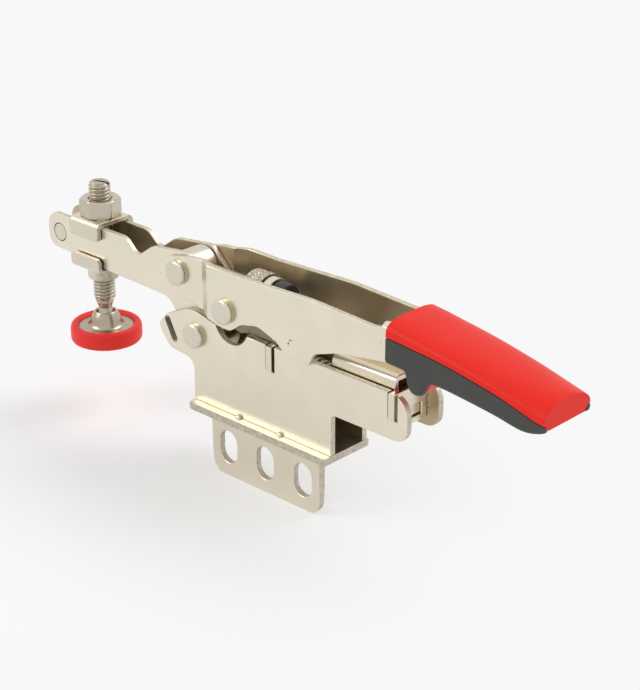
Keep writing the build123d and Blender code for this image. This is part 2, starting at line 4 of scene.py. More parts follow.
import bmesh
import bpy
import mathutils
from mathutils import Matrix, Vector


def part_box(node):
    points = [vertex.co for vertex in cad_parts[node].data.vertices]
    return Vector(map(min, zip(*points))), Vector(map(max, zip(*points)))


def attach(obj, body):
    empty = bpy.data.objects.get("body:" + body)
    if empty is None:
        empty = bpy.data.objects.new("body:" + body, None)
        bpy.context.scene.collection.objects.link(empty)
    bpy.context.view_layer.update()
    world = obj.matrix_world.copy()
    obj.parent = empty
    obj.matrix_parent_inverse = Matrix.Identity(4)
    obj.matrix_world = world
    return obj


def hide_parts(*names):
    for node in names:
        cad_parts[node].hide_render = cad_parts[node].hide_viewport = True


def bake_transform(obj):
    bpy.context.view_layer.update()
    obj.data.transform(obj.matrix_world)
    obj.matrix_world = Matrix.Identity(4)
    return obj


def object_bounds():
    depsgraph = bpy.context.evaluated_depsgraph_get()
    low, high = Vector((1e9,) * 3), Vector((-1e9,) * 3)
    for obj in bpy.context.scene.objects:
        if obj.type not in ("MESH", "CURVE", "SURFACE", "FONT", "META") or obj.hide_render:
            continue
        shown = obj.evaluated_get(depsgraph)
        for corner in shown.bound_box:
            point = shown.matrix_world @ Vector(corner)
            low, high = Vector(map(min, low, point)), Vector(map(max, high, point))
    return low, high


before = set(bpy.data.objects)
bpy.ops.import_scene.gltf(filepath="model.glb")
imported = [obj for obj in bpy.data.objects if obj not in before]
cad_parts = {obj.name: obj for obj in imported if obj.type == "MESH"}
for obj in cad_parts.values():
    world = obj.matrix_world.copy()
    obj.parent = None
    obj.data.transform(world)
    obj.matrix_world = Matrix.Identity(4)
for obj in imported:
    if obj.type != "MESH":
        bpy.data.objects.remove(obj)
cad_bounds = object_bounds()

# Camera.
# It looks down on the clamp from the front right, through a long lens.
camera_data = bpy.data.cameras.new("camera")
camera_data.lens = 104.06
camera_data.sensor_fit = "HORIZONTAL"
camera_data.sensor_width = 36
camera_data.clip_start = 0.01
camera = bpy.data.objects.new("camera", camera_data)
camera.location = (0.29799, -0.30577, 0.21387)
camera.rotation_euler = (math.radians(66), 0, math.radians(43.2))
bpy.context.scene.collection.objects.link(camera)
bpy.context.scene.camera = camera

# Floor and light.
# A pale matt floor under the bracket's lower edge, an even white surround, one broad lamp from
# behind on the right that lays the shadow to the front left, and a weaker one from the front.
floor_half = 2.0
floor_z = cad_bounds[0][2]
surround = 0.60
lamp_strength = 0.95
fill_strength = 0.8
lamp_spread = 34
floor_white = 0.939
floor_glow = 0.2
floor_bounce = (0.86, 0.86, 0.855, 1)
floor_seen = (0.98, 0.98, 0.98, 1)
shadow_centre = (-0.04, -0.03, floor_z)
shadow_near, shadow_far = 0.03, 0.11


def add_node(tree, kind, inputs=(), **settings):
    """A node with its settings, its inputs given as values or as the sockets that feed them."""
    made = tree.nodes.new(kind)
    for key, value in settings.items():
        setattr(made, key, value)
    for key, value in dict(inputs).items():
        if isinstance(value, bpy.types.NodeSocket):
            tree.links.new(value, made.inputs[key])
        else:
            made.inputs[key].default_value = value
    return made


def mixed(tree, share, low, high):
    """A colour that goes from low to high as the share goes from 0 to 1."""
    return add_node(tree, "ShaderNodeMix", {"Factor": share, "A": low, "B": high},
                    data_type="RGBA").outputs["Result"]


def seen_directly(tree):
    """1 for what the camera or a shiny face sees, 0 for what only lights the clamp."""
    rays = add_node(tree, "ShaderNodeLightPath")
    return add_node(tree, "ShaderNodeMath", {0: rays.outputs["Is Camera Ray"],
                                             1: rays.outputs["Is Glossy Ray"]},
                    operation="MAXIMUM").outputs[0]


def new_object(name, mesh):
    made = bpy.data.objects.new(name, mesh)
    bpy.context.scene.collection.objects.link(made)
    return made


floor_mesh = bpy.data.meshes.new("floor")
floor_mesh.from_pydata(
    [(x, y, floor_z) for x, y in ((-floor_half, -floor_half), (floor_half, -floor_half),
                                  (floor_half, floor_half), (-floor_half, floor_half))],
    [], [(0, 1, 2, 3)])
floor = new_object("floor", floor_mesh)
floor_paint = bpy.data.materials.new("floor_paint")
floor_paint.use_nodes = True
tree = floor_paint.node_tree
shader = tree.nodes["Principled BSDF"]
shader.inputs["Roughness"].default_value = 0.9
shader.inputs["Specular IOR Level"].default_value = 0.1
seen = seen_directly(tree)
tree.links.new(mixed(tree, seen, floor_bounce, floor_seen), shader.inputs["Base Color"])
glow = add_node(tree, "ShaderNodeEmission", {"Color": (1, 1, 1, 1), "Strength": floor_white})
place = add_node(tree, "ShaderNodeTexCoord").outputs["Object"]
apart = add_node(tree, "ShaderNodeVectorMath", {0: place, 1: shadow_centre}, operation="DISTANCE")
fade = add_node(tree, "ShaderNodeMapRange", {"Value": apart.outputs["Value"], "From Min": shadow_near,
                                             "From Max": shadow_far, "To Min": floor_glow, "To Max": 0.96})
share = add_node(tree, "ShaderNodeMath", {0: seen, 1: fade.outputs[0]}, operation="MULTIPLY")
blended = add_node(tree, "ShaderNodeMixShader", {0: share.outputs[0], 1: shader.outputs[0],
                                                 2: glow.outputs[0]})
tree.links.new(blended.outputs[0], tree.nodes["Material Output"].inputs["Surface"])
floor_mesh.materials.append(floor_paint)

world = bpy.data.worlds.new("surround")
bpy.context.scene.world = world
world.use_nodes = True
tree = world.node_tree
level = add_node(tree, "ShaderNodeMapRange", {"Value": seen_directly(tree), "To Min": surround,
                                              "To Max": floor_white})
tree.links.new(level.outputs[0], tree.nodes["Background"].inputs["Strength"])
tree.nodes["Background"].inputs["Color"].default_value = (1, 1, 1, 1)

for name, strength, tilt, turn in (("lamp", lamp_strength, 42, 152),
                                   ("fill_lamp", fill_strength, 50, -40)):
    lamp_data = bpy.data.lights.new(name, "SUN")
    lamp_data.energy = strength
    lamp_data.angle = math.radians(lamp_spread)
    lamp = new_object(name, lamp_data)
    lamp.rotation_euler = (math.radians(tilt), 0, math.radians(turn))
bpy.context.scene.view_settings.view_transform = "Standard"

# Base: one folded steel stamping, nickel plated in a barrel, so its faces are satin with a fine
# grain and its sheared edges are rougher and darker. The other stampings are plated likewise.
nickel_tint = (0.84, 0.77, 0.635)
spot_tint = (0.42, 0.36, 0.27, 1)
# Painted shade for the plate faces that look towards the middle plane, where shade falls between the plates.
inner_shade_low, inner_shade_high = (0.49, 0.405, 0.27, 1), (0.60, 0.50, 0.345, 1)
grain_height = 0.00005
edge_ease = 0.00024
weld_gap, sliver = 2e-6, 2e-5
flat_angle, round_angle = math.radians(0.6), math.radians(24)


def toned(tint, share):
    """A tint made darker or lighter by a share."""
    return tuple(min(1, c * share) for c in tint)


def plated(name, tint, roughness=0.3, sheared="", inside=False, ends=False):
    """Barrel-plated nickel on steel. Sheared names the axis whose faces are the sheet's own, or with ends
    the cut ones, and inside paints shade on the faces towards the middle plane, darker and rougher."""
    finish = bpy.data.materials.new(name)
    finish.use_nodes = True
    tree = finish.node_tree
    shader = tree.nodes["Principled BSDF"]
    shader.inputs["Metallic"].default_value = 1.0
    place = add_node(tree, "ShaderNodeTexCoord").outputs["Object"]
    clouds = add_node(tree, "ShaderNodeTexNoise", {"Vector": place, "Scale": 110.0, "Detail": 3.0})
    fine = add_node(tree, "ShaderNodeTexNoise", {"Vector": place, "Scale": 2600.0, "Detail": 2.0})
    pits = add_node(tree, "ShaderNodeTexVoronoi", {"Vector": place, "Scale": 170.0})
    rare = add_node(tree, "ShaderNodeMapRange", {"Value": pits.outputs["Distance"], "From Min": 0.02,
                                                 "From Max": 0.045})
    base = mixed(tree, clouds.outputs["Fac"], (*toned(tint, 0.9), 1), (*toned(tint, 1.05), 1))
    colour = mixed(tree, rare.outputs[0], spot_tint, base)
    rough = add_node(tree, "ShaderNodeMapRange", {"Value": clouds.outputs["Fac"], "To Min": roughness - 0.06,
                                                  "To Max": roughness + 0.08}).outputs[0]
    height = fine.outputs["Fac"]
    face = add_node(tree, "ShaderNodeNewGeometry")
    normal = add_node(tree, "ShaderNodeSeparateXYZ", {0: face.outputs["Normal"]})
    if sheared:
        size = add_node(tree, "ShaderNodeMath", {0: normal.outputs[sheared]}, operation="ABSOLUTE")
        cut = add_node(tree, "ShaderNodeMapRange", {"Value": size.outputs[0], "From Min": 0.25,
                                                    "From Max": 0.6, "To Min": float(not ends),
                                                    "To Max": float(ends)})
        torn = add_node(tree, "ShaderNodeTexNoise", {"Vector": place, "Scale": 900.0, "Detail": 4.0})
        torn_shade = mixed(tree, torn.outputs["Fac"], (*toned(tint, 0.42), 1), (*toned(tint, 1.04), 1))
        colour = mixed(tree, cut.outputs[0], colour, torn_shade)
        rough = add_node(tree, "ShaderNodeMath", {0: cut.outputs[0], 1: 0.2, 2: rough},
                         operation="MULTIPLY_ADD").outputs[0]
        height = add_node(tree, "ShaderNodeMix", {"Factor": cut.outputs[0], "A": fine.outputs["Fac"],
                                                  "B": torn.outputs["Fac"]}).outputs["Result"]
    # Painted shade: faces that look towards the middle plane get a dark brown tint and more roughness in
    # place of the shade between the plates.
    if inside:
        where = add_node(tree, "ShaderNodeSeparateXYZ", {0: place})
        side = add_node(tree, "ShaderNodeMath", {0: where.outputs["Y"]}, operation="SIGN")
        outward = add_node(tree, "ShaderNodeMath", {0: side.outputs[0], 1: normal.outputs["Y"]},
                           operation="MULTIPLY")
        inner_shade_share = add_node(tree, "ShaderNodeMapRange", {"Value": outward.outputs[0], "From Min": -0.9,
                                                       "From Max": -0.6, "To Min": 1.0, "To Max": 0.0})
        inner_shade = mixed(tree, clouds.outputs["Fac"], inner_shade_low, inner_shade_high)
        colour = mixed(tree, inner_shade_share.outputs[0], colour, inner_shade)
        rough = add_node(tree, "ShaderNodeMath", {0: inner_shade_share.outputs[0], 1: 0.12, 2: rough},
                         operation="MULTIPLY_ADD").outputs[0]
    bump = add_node(tree, "ShaderNodeBump", {"Height": height, "Strength": 0.12, "Distance": grain_height})
    tree.links.new(colour, shader.inputs["Base Color"])
    tree.links.new(rough, shader.inputs["Roughness"])
    tree.links.new(bump.outputs["Normal"], shader.inputs["Normal"])
    return finish


def finished(piece, finish, body, nodes=()):
    """The piece gets its finish and its body, and stands for those nodes."""
    piece.data.materials.clear()
    piece.data.materials.append(finish)
    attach(piece, body)
    if nodes:
        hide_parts(*nodes)
    return piece


def settled(piece):
    """The piece with its modifiers made part of its mesh."""
    shown = piece.evaluated_get(bpy.context.evaluated_depsgraph_get())
    mesh = bpy.data.meshes.new_from_object(shown)
    piece.modifiers.clear()
    piece.data = mesh
    return piece


def shaded(piece, crease=28):
    """Smooth shading that stays crisp at real edges and flat on broad faces."""
    piece.data.shade_smooth()
    piece.data.set_sharp_from_angle(angle=math.radians(crease))
    weigh = piece.modifiers.new("weigh", "WEIGHTED_NORMAL")
    weigh.keep_sharp = True
    return settled(piece)


def welded(node, slivers_out=True):
    """A bmesh of a frame node, its triangles joined into the flat faces they came from."""
    shape = bmesh.new()
    shape.from_mesh(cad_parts[node].data)
    bmesh.ops.remove_doubles(shape, verts=shape.verts, dist=weld_gap)
    if slivers_out:
        bmesh.ops.dissolve_degenerate(shape, dist=sliver, edges=shape.edges)
    bmesh.ops.dissolve_limit(shape, angle_limit=flat_angle, verts=shape.verts, edges=shape.edges)
    return shape


def is_corner(edge):
    """Whether two faces meet at an edge sharply enough for the finishing to round it."""
    return len(edge.link_faces) == 2 and edge.calc_face_angle(0) > round_angle


def rounded_off(shape, edges, ease, segments):
    bmesh.ops.bevel(shape, geom=edges, offset=ease, offset_type="OFFSET", segments=segments, profile=0.5,
                    affect="EDGES", clamp_overlap=False, loop_slide=False)


def made_mesh(name, shape):
    """The mesh of a bmesh, which is then let go."""
    mesh = bpy.data.meshes.new(name)
    shape.to_mesh(mesh)
    shape.free()
    return mesh


def eased(node, name, ease=edge_ease, segments=2, kept=lambda middle: False):
    """A welded copy of a frame node, with the edges that its barrel finishing rounds. Kept tells
    by an edge's middle which edges stay as they are."""
    shape = welded(node)
    round_edges = [e for e in shape.edges if is_corner(e)
                   and not kept((e.verts[0].co + e.verts[1].co) / 2)]
    rounded_off(shape, round_edges, ease, segments)
    return shaded(new_object(name, made_mesh(name, shape)))


web_front_x, web_half, nose_end_x = -0.0362, 0.00505, -0.0395
slot_x, slot_z = -0.0366, 0.0196
slot_run, slot_rise = 0.469, 0.883
slot_rim_along, slot_rim_off = 0.0045, 0.0013


def by_slot(middle):
    """Whether a point is on the nose's web or on the rim of its narrow slot."""
    if middle.x < nose_end_x or middle.x < web_front_x and abs(middle.y) < web_half:
        return True
    along = (middle.x - slot_x) * slot_run - (middle.z - slot_z) * slot_rise
    off = (middle.x - slot_x) * slot_rise + (middle.z - slot_z) * slot_run
    return abs(along) < slot_rim_along and abs(off) < slot_rim_off


base_finish = plated("nickel_base", nickel_tint, sheared="Y", inside=True)
base = eased("base_frame", "base_plates", kept=by_slot)
finished(base, base_finish, "root", ["base_frame"])

# Bracket: thicker steel than the base, with the leg's sheared front edge over a square flange
# that three bolt slots are punched in. Two projection welds show as beads beside the base.
bracket_tint = toned(nickel_tint, 0.95)
bracket_finish = plated("nickel_bracket", bracket_tint, roughness=0.34, sheared="Z")
flange_finish = plated("nickel_flange", bracket_tint, roughness=0.34, sheared="Y")
leg_front, leg_rear, leg_near, leg_far, leg_top = -0.0282, 0.0208, -0.0091, 0.0075, 0.002
leg_corner_r, leg_rear_r, leg_ease = 0.001, 0.0003, 0.00028
flange_cut_z, flange_top_z, flange_ease = -0.0013, 0.0001, 0.00032
bead_r, bead_y, bead_xs = 0.0008, -0.0070, (-0.0114, 0.0034)
bead_long, bead_low, bead_lift = 1.15, 0.95, 0.0001
corner_steps = 4


def prism(name, corners, low, high, ease):
    """An upright plate of rounded corners given as x, y and radius, from low to high."""
    ring = []
    count = len(corners)
    for i, (x, y, radius) in enumerate(corners):
        before, after = corners[i - 1], corners[(i + 1) % count]
        into = mathutils.Vector((x - before[0], y - before[1])).normalized()
        out = mathutils.Vector((after[0] - x, after[1] - y)).normalized()
        point = mathutils.Vector((x, y))
        for step in range(corner_steps + 1):
            t = step / corner_steps
            ring.append((point - into * radius) * (1 - t) ** 2 + point * 2 * t * (1 - t)
                        + (point + out * radius) * t * t)
    shape = bmesh.new()
    lower = [shape.verts.new((p.x, p.y, low)) for p in ring]
    upper = [shape.verts.new((p.x, p.y, high)) for p in ring]
    shape.faces.new(lower[::-1])
    shape.faces.new(upper)
    for i in range(len(ring)):
        shape.faces.new((lower[i - 1], lower[i], upper[i], upper[i - 1]))
    rims = [e for e in shape.edges if abs(e.verts[0].co.z - e.verts[1].co.z) < 1e-9]
    rounded_off(shape, rims, ease, 3)
    bmesh.ops.recalc_face_normals(shape, faces=shape.faces)
    return made_mesh(name, shape)


leg = new_object("bracket_leg", prism("bracket_leg", [
    (leg_front, leg_near, leg_corner_r), (leg_rear, leg_near, leg_rear_r),
    (leg_rear, leg_far, leg_rear_r), (leg_front, leg_far, leg_corner_r)], 0, leg_top, leg_ease))
finished(shaded(leg), bracket_finish, "root")

flange_shape = welded("base_bracket", slivers_out=False)
bmesh.ops.bisect_plane(flange_shape, geom=[*flange_shape.verts, *flange_shape.edges, *flange_shape.faces],
                       plane_co=(0, 0, flange_cut_z), plane_no=(0, 0, 1), clear_outer=True)
bmesh.ops.holes_fill(flange_shape, edges=[e for e in flange_shape.edges if e.is_boundary])
for corner in flange_shape.verts:
    if corner.co.z > flange_cut_z - 1e-5:
        corner.co.z = flange_top_z
rims = [e for e in flange_shape.edges if is_corner(e) and max(v.co.z for v in e.verts) < 0]
rounded_off(flange_shape, rims, flange_ease, 3)
flange = new_object("bracket_flange", made_mesh("bracket_flange", flange_shape))
finished(shaded(flange), flange_finish, "root", ["base_bracket"])

bead_shape = bmesh.new()
for x in bead_xs:
    made = bmesh.ops.create_uvsphere(bead_shape, u_segments=20, v_segments=12, radius=bead_r)["verts"]
    for corner in made:
        corner.co = (x + corner.co.x * bead_long, corner.co.y + bead_y,
                     corner.co.z * bead_low + leg_top + bead_lift)
beads = new_object("weld_beads", made_mesh("weld_beads", bead_shape))
finished(shaded(beads, 60), flange_finish, "root")

# Slide: a flat bar with an upright eye, gripped by two plates that cant on it when it is pushed
# back, so that the clamp takes up the thickness of the work. They are ground and left smoother.
bar_finish = plated("nickel_bar", toned(nickel_tint, 0.92), roughness=0.24)
finished(eased("slide_bar", "lock_bar"), bar_finish, "slide", ["slide_bar"])
for plate in ("front_lock_plate", "rear_lock_plate"):
    finished(eased(plate, plate.replace("_plate", "_tab")), bar_finish, "root", [plate])

# Cover: a folded steel strip let in over the rear of the base. It is plated a little darker
# than the rest, and is a shade narrower than the base that holds it.
cover_finish = plated("nickel_cover", toned(nickel_tint, 0.86), roughness=0.24)
cover_narrowing = 0.92
cover = eased("lock_cover", "rear_cover")
for corner in cover.data.vertices:
    corner.co.y *= cover_narrowing
finished(cover, cover_finish, "root", ["lock_cover"])

# Return spring: round spring-steel wire wound on the slide bar between its eye and the rear
# lock plate.
spring_low, spring_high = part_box("return_spring")
middle_z = (spring_low.z + spring_high.z) / 2
spring_turns = 15.0
wire_r = 0.0004


def node_tool(name, *sockets):
    """An empty geometry tool with named inputs, and its input and output nodes."""
    tool = bpy.data.node_groups.new(name, "GeometryNodeTree")
    tool.interface.new_socket(name="Geometry", in_out="INPUT", socket_type="NodeSocketGeometry")
    for label, kind in sockets:
        tool.interface.new_socket(name=label, in_out="INPUT", socket_type=kind)
    tool.interface.new_socket(name="Geometry", in_out="OUTPUT", socket_type="NodeSocketGeometry")
    return tool, tool.nodes.new("NodeGroupInput"), tool.nodes.new("NodeGroupOutput")


def worked(name, tool, values, start=None):
    """The mesh that a geometry tool makes with these values, as a plain piece."""
    piece = new_object(name, start or bpy.data.meshes.new(name))
    step = piece.modifiers.new("work", "NODES")
    step.node_group = tool
    for item in tool.interface.items_tree:
        if item.in_out == "INPUT" and item.name in values:
            step[item.identifier] = values[item.name]
    return settled(piece)


def last_steps(tool, geometry, material, output):
    """Instances made real and the material set, as the last two steps of a tool."""
    real = add_node(tool, "GeometryNodeRealizeInstances", {0: geometry})
    dressed = add_node(tool, "GeometryNodeSetMaterial", {"Geometry": real.outputs[0], "Material": material})
    tool.links.new(dressed.outputs[0], output.inputs[0])


coil_tool, given, result = node_tool("coil", ("Turns", "NodeSocketFloat"), ("Coil Radius", "NodeSocketFloat"),
                                     ("Wire Radius", "NodeSocketFloat"), ("Length", "NodeSocketFloat"),
                                     ("Finish", "NodeSocketMaterial"))
spiral = add_node(coil_tool, "GeometryNodeCurveSpiral", {
    "Resolution": 28, "Rotations": given.outputs["Turns"], "Start Radius": given.outputs["Coil Radius"],
    "End Radius": given.outputs["Coil Radius"], "Height": given.outputs["Length"]})
wire = add_node(coil_tool, "GeometryNodeCurvePrimitiveCircle", {"Resolution": 10,
                                                                "Radius": given.outputs["Wire Radius"]})
swept = add_node(coil_tool, "GeometryNodeCurveToMesh", {"Curve": spiral.outputs[0],
                                                        "Profile Curve": wire.outputs[0], "Fill Caps": True})
laid = add_node(coil_tool, "GeometryNodeTransform", {"Geometry": swept.outputs[0],
                                                     "Rotation": (0, math.radians(90), 0)})
last_steps(coil_tool, laid.outputs[0], given.outputs["Finish"], result)

spring_finish = plated("spring_wire", (0.52, 0.49, 0.44), roughness=0.3)
spring = worked("slide_spring", coil_tool, {
    "Turns": spring_turns, "Coil Radius": (spring_high.y - spring_low.y) / 2 - wire_r, "Wire Radius": wire_r,
    "Length": spring_high.x - spring_low.x - 2 * wire_r, "Finish": spring_finish})
for corner in spring.data.vertices:
    corner.co.x += spring_low.x + wire_r
    corner.co.z += middle_z
spring.data.shade_smooth()
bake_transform(spring)
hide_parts("return_spring")

# Arm: two stamped plates held apart by a flush rivet with a spacer at the tip and by sleeves at
# the pivots. The spindle's saddles slide along their straight part.
arm_finish = plated("nickel_arm", nickel_tint, sheared="Y", inside=True)
for side in ("left", "right"):
    finished(eased("arm_plate_" + side, "arm_side_" + side), arm_finish, "arm",
             ["arm_plate_" + side])
pin_finish = plated("nickel_pin", toned(nickel_tint, 0.94), roughness=0.28)
finished(eased("arm_tip_spacer", "tip_spacer"), pin_finish, "arm", ["arm_tip_spacer"])
finished(eased("arm_foot_sleeve", "foot_sleeve"), pin_finish, "arm", ["arm_foot_sleeve"])

# Handle frame: one plated steel stamping whose sides step out round the base and fold over
# inside the grip. Each side has a wedge pressed into it, with a crisp torn rim.
louver_xs, louver_zs, louver_out = (0.0074, 0.0142), (0.0232, 0.0318), 0.0087


def by_louver(middle):
    """Whether a point is on the rim of a side's pressed-in wedge."""
    return (louver_xs[0] < middle.x < louver_xs[1] and louver_zs[0] < middle.z < louver_zs[1]
            and abs(middle.y) > louver_out)


handle_finish = plated("nickel_handle", nickel_tint, sheared="Y", inside=True)
handle = eased("handle_frame", "handle_plates", kept=by_louver)
finished(handle, handle_finish, "handle", ["handle_frame"])

# Links: two short stamped plates that step in behind the base; their nickel is painted dark with the
# shade that falls there. A turned stub on each rear end points at the slide's eye and stops short of it.
link_shade_finish = plated("nickel_link_painted_shade", (0.30, 0.245, 0.165), roughness=0.4, sheared="Y")
for side in ("left", "right"):
    finished(eased("link_plate_" + side, "toggle_link_" + side), link_shade_finish, "link",
             ["link_plate_" + side])
    finished(eased("link_stud_" + side, "toggle_stub_" + side), pin_finish, "link",
             ["link_stud_" + side])

# Rivets: turned steel with flat round heads, a fine groove under each head and the face dished
# a little by the riveting tool. One head is repeated wherever a pivot shows on a side.
tip_low, tip_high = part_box("arm_tip_rivet")
tip_r = 2.42
rivet_finish = plated("nickel_rivet", (0.73, 0.68, 0.57), roughness=0.27)


def turned(name, profile, steps=64):
    """A closed piece turned about Z from radius and height pairs in millimetres."""
    shape = bmesh.new()
    rings = []
    for radius, height in profile:
        if radius == 0:
            rings.append([shape.verts.new((0, 0, height / 1000))])
            continue
        rings.append([shape.verts.new((radius / 1000 * math.cos(math.tau * i / steps),
                                       radius / 1000 * math.sin(math.tau * i / steps), height / 1000))
                      for i in range(steps)])
    for low, high in zip(rings, rings[1:]):
        for i in range(steps):
            j = (i + 1) % steps
            if len(low) == 1:
                shape.faces.new((low[0], high[j], high[i]))
            elif len(high) == 1:
                shape.faces.new((low[i], low[j], high[0]))
            else:
                shape.faces.new((low[i], low[j], high[j], high[i]))
    bmesh.ops.recalc_face_normals(shape, faces=shape.faces)
    return made_mesh(name, shape)


def laid_across(mesh, x, z):
    """A mesh turned about Z is laid on the Y axis, at x and z."""
    for corner in mesh.vertices:
        forward, down, along = corner.co
        corner.co = (x + forward, along, z - down)


rivet_tool, given, result = node_tool("rivet_heads", ("Head", "NodeSocketObject"),
                                      ("Finish", "NodeSocketMaterial"))
head_info = add_node(rivet_tool, "GeometryNodeObjectInfo", {"Object": given.outputs["Head"]})
facing = add_node(rivet_tool, "GeometryNodeInputNamedAttribute", {"Name": "facing"},
                  data_type="FLOAT_VECTOR")
aim = add_node(rivet_tool, "FunctionNodeAlignRotationToVector", {"Vector": facing.outputs["Attribute"]},
               axis="Z")
spots = add_node(rivet_tool, "GeometryNodeMeshToPoints", {"Mesh": given.outputs["Geometry"]})
heads = add_node(rivet_tool, "GeometryNodeInstanceOnPoints", {
    "Points": spots.outputs[0], "Instance": head_info.outputs["Geometry"], "Rotation": aim.outputs[0]})
last_steps(rivet_tool, heads.outputs[0], given.outputs["Finish"], result)


head_height, shank_share = 1.6, 0.62


def riveted(name, node, both=True):
    """The heads and shank of one rivet, sized from its frame node."""
    low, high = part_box(node)
    centre = [(low[i] + high[i]) / 2 for i in range(3)]
    head_r = (high.x - low.x) * 500
    outer = max(abs(low.y), abs(high.y)) * 1000
    inner = 0 if both else min(abs(low.y), abs(high.y)) * 1000
    seat = outer - head_height
    shank = head_r * shank_share
    head = new_object(name + "_head", turned(name + "_head", [
        (0, inner), (shank, inner), (shank, seat), (head_r - 0.15, seat), (head_r, seat + 0.12),
        (head_r, seat + 0.42), (head_r - 0.4, seat + 0.52), (head_r - 0.4, seat + 0.7),
        (head_r - 0.02, seat + 0.8), (head_r - 0.05, outer - 0.45), (head_r - 0.16, outer - 0.2),
        (head_r - 0.4, outer - 0.05), (head_r - 0.75, outer), (head_r * 0.45, outer - 0.04),
        (head_r * 0.2, outer - 0.1), (0, outer - 0.1)]))
    sides = (-1, 1) if both else (1 if centre[1] > 0 else -1,)
    spots = bpy.data.meshes.new(name)
    spots.from_pydata([(centre[0], 0, centre[2])] * len(sides), [], [])
    way = spots.attributes.new("facing", "FLOAT_VECTOR", "POINT")
    for i, side in enumerate(sides):
        way.data[i].vector = (0, side, 0)
    piece = worked(name, rivet_tool, {"Head": head, "Finish": rivet_finish}, spots)
    bpy.data.objects.remove(head)
    return shaded(piece, 40)


tip_reach = tip_high.y * 1000
tip_half = [(tip_r, tip_reach - 0.35), (tip_r - 0.06, tip_reach - 0.12), (tip_r - 0.27, tip_reach),
            (0, tip_reach)]
tip_mesh = turned("tip_rivet", [(r, -h) for r, h in reversed(tip_half)] + tip_half)
laid_across(tip_mesh, (tip_low.x + tip_high.x) / 2, (tip_low.z + tip_high.z) / 2)
tip_rivet = shaded(new_object("tip_rivet", tip_mesh), 40)
finished(tip_rivet, rivet_finish, "arm", ["arm_tip_rivet"])
finished(riveted("base_pivot_rivet", "base_rivet"), rivet_finish, "root", ["base_rivet"])
finished(riveted("arm_pivot_rivet", "arm_rivet"), rivet_finish, "handle", ["arm_rivet"])
for side in ("left", "right"):
    finished(riveted("link_pivot_" + side, "link_rivet_" + side, both=False), rivet_finish,
             "handle", ["link_rivet_" + side])

# Cross barrel and adjusting screw: the barrel between the arm's plates is tapped across for the
# screw, whose knurled head is turned by a finger. A steel collar and a soft buffer follow it.
barrel_finish = plated("nickel_barrel", (0.70, 0.62, 0.54), roughness=0.33)
barrel_low, barrel_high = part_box("cross_barrel")
barrel_r = (barrel_high.x - barrel_low.x) * 500
barrel_half = barrel_high.y * 1000
barrel_mesh = turned("pivot_barrel", [
    (0, -barrel_half), (barrel_r - 0.4, -barrel_half), (barrel_r - 0.1, 0.15 - barrel_half),
    (barrel_r, 0.45 - barrel_half), (barrel_r, barrel_half - 0.45), (barrel_r - 0.1, barrel_half - 0.15),
    (barrel_r - 0.4, barrel_half), (0, barrel_half)], 96)
laid_across(barrel_mesh, (barrel_low.x + barrel_high.x) / 2, (barrel_low.z + barrel_high.z) / 2)
barrel = new_object("pivot_barrel", barrel_mesh)
finished(shaded(barrel, 35), barrel_finish, "handle", ["cross_barrel"])

knurl_tool, given, result = node_tool(
    "knurl", ("Radius", "NodeSocketFloat"), ("Depth", "NodeSocketFloat"), ("Length", "NodeSocketFloat"),
    ("Chamfer", "NodeSocketFloat"), ("Ridges", "NodeSocketFloat"), ("Finish", "NodeSocketMaterial"))


def maths(tool, operation, *values):
    """What a sum of these numbers or sockets comes to."""
    return add_node(tool, "ShaderNodeMath", dict(enumerate(values)), operation=operation).outputs[0]


def unrolled(tool, around, along):
    """A flat grid and its two fractions, ready to be rolled into a round piece."""
    grid = add_node(tool, "GeometryNodeMeshGrid", {"Size X": 1.0, "Size Y": 1.0, "Vertices X": around,
                                                   "Vertices Y": along})
    place = add_node(tool, "GeometryNodeInputPosition")
    flat = add_node(tool, "ShaderNodeSeparateXYZ", {0: place.outputs[0]})
    return grid, maths(tool, "ADD", flat.outputs["X"], 0.5), maths(tool, "ADD", flat.outputs["Y"], 0.5)


def rolled(tool, grid, turn, radius, height, open_fraction):
    """The grid rolled to that radius, its two end rows drawn in to close the piece."""
    closed = maths(tool, "MULTIPLY", maths(tool, "GREATER_THAN", open_fraction, 1e-4),
                   maths(tool, "LESS_THAN", open_fraction, 1 - 1e-4))
    radius = maths(tool, "MULTIPLY", radius, closed)
    angle = maths(tool, "MULTIPLY", turn, math.tau)
    where = add_node(tool, "ShaderNodeCombineXYZ", {
        "X": maths(tool, "MULTIPLY", radius, maths(tool, "COSINE", angle)),
        "Y": maths(tool, "MULTIPLY", radius, maths(tool, "SINE", angle)), "Z": height})
    moved = add_node(tool, "GeometryNodeSetPosition", {"Geometry": grid.outputs["Mesh"],
                                                       "Position": where.outputs[0]})
    return add_node(tool, "GeometryNodeMergeByDistance", {"Geometry": moved.outputs[0], "Distance": 1e-7})


knurl = functools.partial(maths, knurl_tool)
grid, turn, run = unrolled(knurl_tool, 145, 24)
height = knurl("MULTIPLY", run, given.outputs["Length"])
cross = knurl("MULTIPLY", knurl("MULTIPLY", turn, given.outputs["Ridges"]), math.pi)
lean = knurl("MULTIPLY", run, math.pi * 5)
rising = knurl("SINE", knurl("ADD", cross, lean))
falling = knurl("SINE", knurl("SUBTRACT", cross, lean))
ridge = knurl("MULTIPLY", knurl("ABSOLUTE", rising), knurl("ABSOLUTE", falling))
sunk = knurl("MULTIPLY", given.outputs["Depth"], knurl("SUBTRACT", 1.0, ridge))
full = knurl("SUBTRACT", given.outputs["Radius"], sunk)
far_height = knurl("SUBTRACT", given.outputs["Length"], height)
near_end = knurl("MINIMUM", height, far_height)
end_radius = knurl("SUBTRACT", given.outputs["Radius"], given.outputs["Chamfer"])
limit = knurl("ADD", end_radius, near_end)
rolled_grid = rolled(knurl_tool, grid, turn, knurl("MINIMUM", full, limit), height, run)
last_steps(knurl_tool, rolled_grid.outputs[0], given.outputs["Finish"], result)

